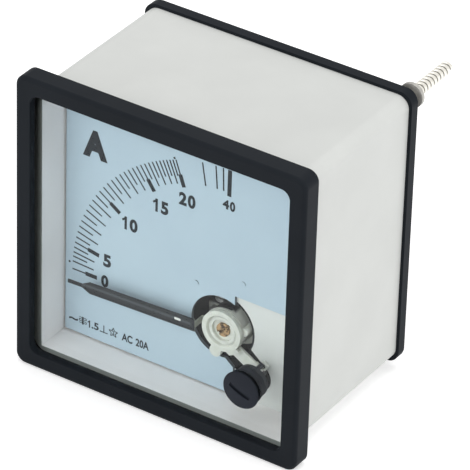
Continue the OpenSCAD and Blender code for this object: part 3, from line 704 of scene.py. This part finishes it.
# the painted shade lies on the lower half of the flanks, and the core between them stays bright
stud_thread = thread_finish("nickel plated thread", "#ebe8df", "#0e0c08", 0.3,
                            stud_axis, stud_axis, STUD_ROOT + 0.1 * MM, STUD_CREST - 0.14 * MM)
parts = []
for place in (-stud_axis, stud_axis):
    parts += [turned_rod(place, place, stud_low.y, stud_high.y, STUD_ROOT, STUD_CHAMFER),
              thread_ridge(place, place, washer_top, stud_high.y - THREAD_END,
                           STUD_ROOT, STUD_CREST, STUD_PITCH)]
joined(parts, "threaded_mounting_studs", stud_thread, "mounting_studs")

# %% [markdown]
# ## Terminal studs
# The current comes in and goes out through two brass studs, each with washers and a nut. They are
# side by side at one height, so one number gives the height of both. The thread starts just
# inside the nut.

# %% Make the terminal studs
terminal_low, terminal_high = corners("terminal_studs")
TERMINAL_RADIUS = 2.5 * MM
TERMINAL_ROOT = 2.12 * MM
TERMINAL_PITCH = 1.0 * MM
TERMINAL_CHAMFER = 0.4 * MM
IN_NUT = 0.3 * MM  # how far the thread reaches into the nut
# the washers are round, so their box tells where the axes are
washer_low, washer_high = corners("terminal_washers")
terminal_x = washer_high.x - (washer_high.z - washer_low.z) / 2
terminal_z = (washer_low.z + washer_high.z) / 2
nut_top = corners("terminal_nuts")[1].y
# painted shade darkens the roots of the brass thread as well
brass_thread = thread_finish("turned brass thread", "#c39c62", "#5a421f", 0.36,
                             terminal_x, terminal_z, TERMINAL_ROOT, TERMINAL_RADIUS)
parts = []
for place in (-terminal_x, terminal_x):
    parts += [turned_rod(place, terminal_z, terminal_low.y, terminal_high.y,
                         TERMINAL_ROOT, TERMINAL_CHAMFER),
              thread_ridge(place, terminal_z, nut_top - IN_NUT, terminal_high.y - THREAD_END,
                           TERMINAL_ROOT, TERMINAL_RADIUS, TERMINAL_PITCH)]
joined(parts, "threaded_terminal_studs", brass_thread, "terminal_studs")

# %% [markdown]
# ## Painted highlight in the pointer's slot
# A pointer is balanced so that it rests at zero in any position. Here a pale block in the slot
# near the hub is a painted highlight, for the light seen through the slot. It is a block with
# rounded edges, seated in the slot, and it turns with the rotor. It is added turned, so that it
# lies along the pointer, and the turn is then applied.

# %% Make the painted highlight in the slot
DROP_SIZE = Vector((1.6, 0.3, 0.62)) * MM  # along the pointer, deep and across it
DROP_REACH = 10.35 * MM                    # from the pivot
DROP_BACK = 0.2 * MM                       # its middle lies this far behind the pointer's front
DROP_EDGE = 0.12 * MM                      # radius of its edges

# painted highlight: a pale silver that shines softly
solder, tree, shader = new_finish("solder", "#ecece8", 0.4, {"Metallic": 0.2})
add_grain(tree, shader, 0.4 * MM, 0.02 * MM)
add_mottle(tree, shader, "#e2e2de", "#f2f2ee", 0.5 * MM)
drop_middle = pivot + DROP_REACH * direction(pointer_turn)
drop_middle.y = pointer_front + DROP_BACK
bpy.ops.object.select_all(action="DESELECT")
bpy.ops.mesh.primitive_cube_add(size=1, scale=DROP_SIZE, location=drop_middle,
                                rotation=(0, pointer_turn, 0))
drop = bpy.context.object
drop.name = "highlight_block_in_slot"
bpy.ops.object.transform_apply(location=True, rotation=True, scale=True)
rounding = drop.modifiers.new("rounding", "BEVEL")
rounding.width = DROP_EDGE
rounding.segments = 3
bpy.ops.object.modifier_apply(modifier=rounding.name)
bpy.ops.object.shade_smooth_by_angle(angle=math.radians(40))
drop.data.materials.append(solder)
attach(drop, "rotor")
print("solder drop at", [round(v / MM, 2) for v in drop_middle])

# %% [markdown]
# ## Angles of the marks
# A moving-iron movement answers to the square of the current, so its scale is squeezed at the
# start and, once the iron saturates, at the end. A saturation curve gives the angle of each mark
# up to the rated value. The marks at both ends are listed one by one, as a maker does on a first
# sample.

# %% From amperes to degrees
FULL_SWEEP = 102.36  # degrees that the curve tends to
STEEPNESS = 2.121    # near 2, the power of a square law
HALF_WAY = 13.62     # amperes at half of the sweep
SET_BACK = 0.71      # degrees by which the curve starts before the zero mark
HAND_SET = {0: 0.0, 3: 2.84, 25: 80.2, 30: 85.1, 35: 87.8, 40: 90.2}


def mark_angle(amps):
    """Degrees from the zero mark, which lies horizontally left of the pivot."""
    if amps in HAND_SET:
        return HAND_SET[amps]
    sweep = FULL_SWEEP * amps ** STEEPNESS / (HALF_WAY ** STEEPNESS + amps ** STEEPNESS)
    return sweep - SET_BACK


print("the mark of 10 A is at", round(mark_angle(10), 1), "degrees")

# %% [markdown]
# ## Lengths of the marks
# All marks end on one outer circle. Whole amperes have long marks and halves have short ones.
# Each numbered mark is a thin line that goes on inwards as a thick bar.

# %% List the marks
OUTER = 39.3 * MM
LONG_INNER = 33.8 * MM
SHORT_INNER = 35.6 * MM
BAR_OUTER = 35.9 * MM
BAR_INNER = 32.9 * MM
THIN = 0.34 * MM
THICK = 1.0 * MM
NUMBER_EVERY = 5               # amperes
FIRST_FINE, LAST_FINE = 3, 20  # between them there is a mark every half ampere

marks = [(40, BAR_INNER, OUTER, THICK)]
for halves in [0] + list(range(2 * FIRST_FINE, 2 * LAST_FINE + 1)):
    amps = halves / 2
    if amps % NUMBER_EVERY == 0:
        marks += [(amps, BAR_OUTER, OUTER, THIN), (amps, BAR_INNER, BAR_OUTER, THICK)]
    else:
        marks.append((amps, LONG_INNER if halves % 2 == 0 else SHORT_INNER, OUTER, THIN))
marks += [(amps, LONG_INNER, OUTER, THIN) for amps in (25, 30, 35)]
print("marks:", len(marks))

# %% [markdown]
# ## Bars of ink
# Printed ink stands about two hundredths of a millimetre above the enamel. A mark is a thin block
# of that height, added in edit mode straight into the mesh of the print, at its place and turned.
# The print starts as a cube, because a mesh has to exist before it can be edited. The cube is
# deleted before the first mark.

# %% Print the marks
INK_DEPTH = 0.02 * MM
INK_MIDDLE = dial_face - INK_DEPTH / 2


def ink_bar(x_from, z_from, x_to, z_to, width):
    """A printed bar between two points of the dial, added to the mesh in edit mode."""
    length = math.hypot(x_to - x_from, z_to - z_from)
    bpy.ops.mesh.primitive_cube_add(
        size=1, scale=(length, INK_DEPTH, width),
        location=((x_from + x_to) / 2, INK_MIDDLE, (z_from + z_to) / 2),
        rotation=(0, -math.atan2(z_to - z_from, x_to - x_from), 0))


bpy.ops.object.select_all(action="DESELECT")
bpy.ops.mesh.primitive_cube_add(size=1, location=(0, 0, 0))
scale_print = bpy.context.object
scale_print.name = "scale_print"
bpy.ops.object.mode_set(mode="EDIT")
bpy.ops.mesh.select_all(action="SELECT")
bpy.ops.mesh.delete(type="VERT")
for amps, inner, outer, width in marks:
    turn = math.radians(180 - mark_angle(amps))
    ink_bar(pivot.x + inner * math.cos(turn), pivot.z + inner * math.sin(turn),
            pivot.x + outer * math.cos(turn), pivot.z + outer * math.sin(turn), width)
print("bars printed:", len(marks))

# %% [markdown]
# ## Signs
# Every dial of this kind carries a row of signs. An upright iron in the turns of a coil stands
# for the moving-iron movement, an upturned T for upright use and a star for the voltage test.
# They are lines, so the same bars draw them. The font's figure one has no flag, so each one is
# built from a stem and a flag as well. Two dots mark the ends of the range in which the class
# holds.

# %% Print the signs
def ink_line(points, width):
    """Bars from each point to the next. Points and width in millimetres."""
    for (x_from, z_from), (x_to, z_to) in zip(points, points[1:]):
        ink_bar(x_from * MM, z_from * MM, x_to * MM, z_to * MM, width * MM)


COIL_LEFT, COIL_RIGHT, COIL_TOP, COIL_STEP = -27.0, -25.15, -27.2, 0.46
coil = []
for row in range(4):
    ends = (COIL_LEFT, COIL_RIGHT) if row % 2 == 0 else (COIL_RIGHT, COIL_LEFT)
    coil += [(end, COIL_TOP - row * COIL_STEP) for end in ends]
ink_line(coil, 0.17)
# the iron in the coil, then the stem and the foot of the upturned T
ink_line([(-26.08, -27.0), (-26.08, -28.95)], 0.42)
ink_line([(-20.53, -27.0), (-20.53, -28.8)], 0.24)
ink_line([(-21.6, -28.8), (-19.5, -28.8)], 0.24)

STAR_X, STAR_Z, STAR_POINT, STAR_NOTCH = -18.05, -27.9, 1.2, 0.56
star = []
for corner in range(11):
    reach = STAR_POINT if corner % 2 == 0 else STAR_NOTCH
    star.append((STAR_X + reach * math.sin(corner * math.pi / 5),
                 STAR_Z + reach * math.cos(corner * math.pi / 5)))
ink_line(star, 0.2)

# the ones of 10, 15 and 1.5: place of the stem, its foot, its head and its thickness
for stem, foot, head, thick in ((-15.26, -0.4, 2.83, 0.6), (-7.5, 6.95, 10.18, 0.6),
                                (-24.3, -29.05, -27.2, 0.3)):
    tall = head - foot
    ink_line([(stem, foot), (stem, head)], thick)
    ink_line([(stem + 0.1 * thick, head - 0.5 * thick), (stem - 0.27 * tall, head - 0.34 * tall)],
             0.8 * thick)

DOT_RADIUS = 0.28 * MM
for x, z in ((-29.67, -13.95), (-3.25, 21.75)):
    bpy.ops.mesh.primitive_cylinder_add(vertices=24, radius=DOT_RADIUS, depth=INK_DEPTH,
                                        location=(x * MM, INK_MIDDLE, z * MM),
                                        rotation=(math.radians(90), 0, 0))
bpy.ops.object.mode_set(mode="OBJECT")
scale_print.data.materials.append(dial_ink)
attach(scale_print, "case")
print(scale_print.name, "spans", [round(v / MM, 1) for v in scale_print.dimensions])

# %% [markdown]
# ## Figures and letters
# Text is typed with Blender's own font and made a mesh. It is then scaled to the height and width
# that it has on the dial, tipped upright and set down on the enamel, and all of that is applied
# to its mesh. Its outline is let out a little, because printed figures are bolder than the font.

# %% Print the figures
def printed_text(name, words, left, right, foot, head, bold):
    """Ink letters that fill a rectangle of the dial, given in millimetres."""
    bpy.ops.object.select_all(action="DESELECT")
    bpy.ops.object.text_add(location=(0, 0, 0))
    text = bpy.context.object
    text.data.body = words
    text.data.offset = bold
    text.data.extrude = 0.01  # any depth, because the mesh is scaled to the depth of the ink
    text.data.resolution_u = 6
    bpy.ops.object.convert(target="MESH")
    text = bpy.context.object
    low, high = Vector(text.bound_box[0]), Vector(text.bound_box[6])
    size = Vector(((right - left) * MM, (head - foot) * MM, INK_DEPTH))
    scale = Vector(size[i] / (high[i] - low[i]) for i in range(3))
    text.scale = scale
    text.rotation_euler = (math.radians(90), 0, 0)
    text.location = (left * MM - low.x * scale.x, INK_MIDDLE, foot * MM - low.y * scale.y)
    bpy.ops.object.transform_apply(location=True, rotation=True, scale=True)
    text.name = name
    text.data.materials.append(dial_ink)
    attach(text, "case")


# name, letters, then left, right, foot and head in millimetres, and how far the outline is let out
letters = (
    ("figure_0", "0", -21.4, -19.5, -17.1, -14.05, 0.045),
    ("figure_5", "5", -20.9, -18.9, -11.8, -8.6, 0.045),
    ("figure_10_0", "0", -14.25, -12.22, -0.42, 2.8, 0.045),
    ("figure_15_5", "5", -6.4, -4.52, 6.9, 10.08, 0.045),
    ("figure_20_2", "2", -1.92, 0.02, 11.02, 14.17, 0.045),
    ("figure_20_0", "0", 0.3, 2.22, 10.98, 14.2, 0.045),
    ("figure_40_4", "4", 8.94, 10.55, 14.1, 16.35, 0.045),
    ("figure_40_0", "0", 10.75, 12.07, 14.0, 16.38, 0.045),
    ("unit_sign", "A", -26.45, -20.1, 14.2, 21.05, 0.06),
    ("current_sign", "~", -29.7, -27.35, -28.72, -27.95, 0.04),
    ("class_figure", ".5", -23.75, -21.9, -29.0, -27.15, 0.03),
    ("test_figure", "2", -18.35, -17.75, -28.35, -27.45, 0.02),
    ("rating_kind", "AC", -15.85, -13.05, -28.95, -26.95, 0.03),
    ("rating_figure", "20A", -12.2, -8.8, -28.95, -26.95, 0.03),
)
for letter in letters:
    printed_text(*letter)
print("pieces of text:", len(letters))

# %% [markdown]
# ## Camera
# The meter is seen from its right and from above, through a long lens that keeps its edges almost
# parallel. The camera looks at a point inside the case and is rolled by less than two degrees.

# %% Place the camera
AZIMUTH, ELEVATION, ROLL = math.radians(32.67), math.radians(32.87), math.radians(1.78)
DISTANCE = 932.4 * MM
AIM = Vector((3.41, 20.0, -1.93)) * MM
SENSOR, LENS = 36, 337.27  # both in millimetres, as Blender's camera has them
camera_data = bpy.data.cameras.new("camera")
camera_data.sensor_width = SENSOR
camera_data.lens = LENS
camera = bpy.data.objects.new("camera", camera_data)
bpy.context.scene.collection.objects.link(camera)
turned = Euler((math.pi / 2 - ELEVATION, 0, AZIMUTH)).to_matrix() @ Matrix.Rotation(ROLL, 3, "Z")
camera.matrix_world = Matrix.Translation(AIM + turned @ Vector((0, 0, DISTANCE))) @ turned.to_4x4()
bpy.context.scene.camera = camera
print("field of view:", round(math.degrees(camera_data.angle), 2), "degrees")

# %% [markdown]
# ## White background
# A catalogue picture stands on pure white. The white is a glow that only some rays see: those
# that come straight from the camera, from a mirror or through glass. Rays that left a dull
# surface see a dimmer sky and a floor that doesn't glow, so the background hardly lights the
# meter. It does reach the dial through the pane, and the front lamp is weak to make up for it.
# The floor still shows the shadow of the meter, because its glow is added to the light that it
# scatters.

# %% Floor and world
FLOOR_GLOW = 0.5       # with the scattered light of the lamps this makes white
PLAIN_SKY, WHITE_SKY = 0.5, 1.0
FLOOR_SIZE = 6         # metres
FLOOR_GAP = 0.05 * MM  # between the floor and the lowest point of the meter
WHITE = (1, 1, 1, 1)


def background_rays(tree):
    """1 for rays that show the background: to the camera, in a mirror and through glass."""
    rays = add_node(tree, "ShaderNodeLightPath")
    mirrored = add_node(tree, "ShaderNodeMath", {"operation": "MAXIMUM"},
                        links={0: rays.outputs["Is Glossy Ray"],
                               1: rays.outputs["Is Transmission Ray"]})
    shown = add_node(tree, "ShaderNodeMath", {"operation": "MAXIMUM"},
                     links={0: rays.outputs["Is Camera Ray"], 1: mirrored.outputs["Value"]})
    return shown.outputs["Value"]


# the sweep is matt paper, which mirrors nothing
bpy.ops.object.select_all(action="DESELECT")
floor_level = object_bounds()[0][2] - FLOOR_GAP
bpy.ops.mesh.primitive_plane_add(size=FLOOR_SIZE, location=(0, 0, floor_level))
floor = bpy.context.object
floor.name = "floor"
paper, tree, shader = new_finish("white paper sweep", "#f4f4f4", 0.9)
glow = add_node(tree, "ShaderNodeEmission", values={"Color": WHITE, "Strength": FLOOR_GLOW})
glowing = add_node(tree, "ShaderNodeAddShader",
                   links={0: shader.outputs["BSDF"], 1: glow.outputs["Emission"]})
seen = add_node(tree, "ShaderNodeMixShader",
                links={"Fac": background_rays(tree), 1: shader.outputs["BSDF"],
                       2: glowing.outputs["Shader"]})
end_in(tree, seen.outputs["Shader"])
floor.data.materials.append(paper)

world = bpy.data.worlds.new("studio")
bpy.context.scene.world = world
world.use_nodes = True
tree = world.node_tree
tree.nodes.clear()
strength = add_node(tree, "ShaderNodeMapRange", values={"To Min": PLAIN_SKY, "To Max": WHITE_SKY},
                    links={"Value": background_rays(tree)})
sky = add_node(tree, "ShaderNodeBackground", values={"Color": WHITE},
               links={"Strength": strength.outputs["Result"]})
add_node(tree, "ShaderNodeOutputWorld", links={"Surface": sky.outputs["Background"]})
print("floor at", round(floor_level / MM, 2), "mm")

# %% [markdown]
# ## Lamps
# Three broad softboxes stand in front, above and to the right, more than a metre away. They are
# large against the meter, so its shadows are soft. The one above and the one at the right are set
# so that the top and the side of the case come out nearly alike, and the sky fills in the rest.
# The Standard view shows a colour about as it was written.

# %% Softboxes
def softbox(name, place, size, power):
    """A square area lamp that faces the meter. Place and size in metres, power in watts."""
    lamp_data = bpy.data.lights.new(name, "AREA")
    lamp_data.size = size
    lamp_data.energy = power
    lamp = bpy.data.objects.new(name, lamp_data)
    bpy.context.scene.collection.objects.link(lamp)
    facing = (-Vector(place)).to_track_quat("-Z", "Y").to_matrix().to_4x4()
    lamp.matrix_world = Matrix.Translation(place) @ facing


softbox("front softbox", (-0.35, -1.1, 0.55), 0.9, 3.9)
softbox("top softbox", (0.1, 0.2, 1.3), 0.9, 5.8)
softbox("right softbox", (1.2, 0.0, 0.45), 0.8, 4.4)
bpy.context.scene.view_settings.view_transform = "Standard"
print("lamps:", len(bpy.data.lights))
